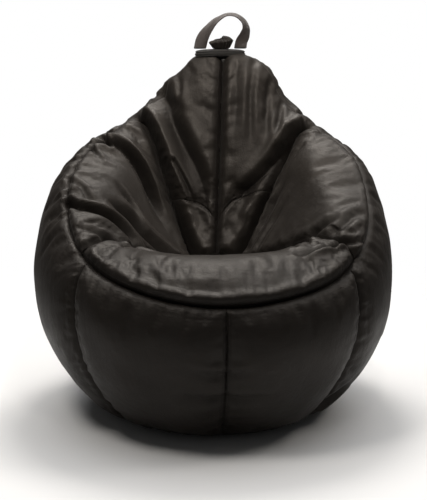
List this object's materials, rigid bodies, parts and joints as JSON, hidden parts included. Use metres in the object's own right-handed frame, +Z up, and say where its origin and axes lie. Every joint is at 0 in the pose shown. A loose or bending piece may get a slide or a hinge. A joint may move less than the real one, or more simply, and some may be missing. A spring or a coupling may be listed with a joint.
{
  "type": "bean bag chair",
  "caption": "Upholstered bean bag chair: round filled body, seat hollow with arms, high backrest drawn in to a neck with a carrying loop, zip across the back.",
  "frame": {"origin": "centre of the base, on the floor", "axes": "+Z up, -Y towards the front of the seat, +X to the right seen from the front"},
  "size_m": [0.8639, 0.864, 0.9771],
  "materials": {
    "cover_leather": "very dark brown faux leather, fine pebble grain, soft satin sheen, dark double topstitching",
    "base_vinyl": "dull black grip vinyl under the bag",
    "liner_cloth": "plain off-white woven inner bag",
    "webbing": "tight woven dark brown webbing with a satin face",
    "zip_tape": "black woven zip tape",
    "zip_coil": "black nylon coil",
    "zip_metal": "gunmetal lacquered zinc"
  },
  "bodies": {
    "bag": {"arm_left_panel": "cover_leather", "arm_right_panel": "cover_leather", "backrest_left_panel": "cover_leather", "backrest_right_panel": "cover_leather", "base_panel": "base_vinyl", "filled_liner": "liner_cloth", "front_left_panel": "cover_leather", "front_right_panel": "cover_leather", "lumbar_left_panel": "cover_leather", "lumbar_right_panel": "cover_leather", "neck_band": "webbing", "neck_tuft": "cover_leather", "rear_left_panel": "cover_leather", "rear_lower_panel": "cover_leather", "rear_right_panel": "cover_leather", "seat_panel": "cover_leather", "side_left_panel": "cover_leather", "side_right_panel": "cover_leather", "zip_coil_lower": "zip_coil", "zip_coil_upper": "zip_coil", "zip_stop_closed": "zip_metal", "zip_stop_open": "zip_metal", "zip_tape_lower": "zip_tape", "zip_tape_upper": "zip_tape"},
    "handle": {"handle_strap": "webbing"},
    "slider": {"zip_slider": "zip_metal"},
    "pull": {"zip_pull": "zip_metal"}
  },
  "joints": [
    {"name": "handle_swing", "type": "hinge", "parent": "bag", "child": "handle", "pos_m": [0.04098, 0.23042, 0.88511], "axis": [1, 0, 0], "range_deg": [-65, 65], "stiffness_Nm_per_rad": 0.15},
    {"name": "zip_run", "type": "hinge", "parent": "bag", "child": "slider", "pos_m": [0, 0, 0.318], "axis": [0, 0, 1], "range_deg": [0, 72.98]},
    {"name": "pull_swing", "type": "hinge", "parent": "slider", "child": "pull", "pos_m": [0.25809, 0.3483, 0.3181], "axis": [0.8035, -0.5954, 0], "range_deg": [0, 165]}
  ]
}
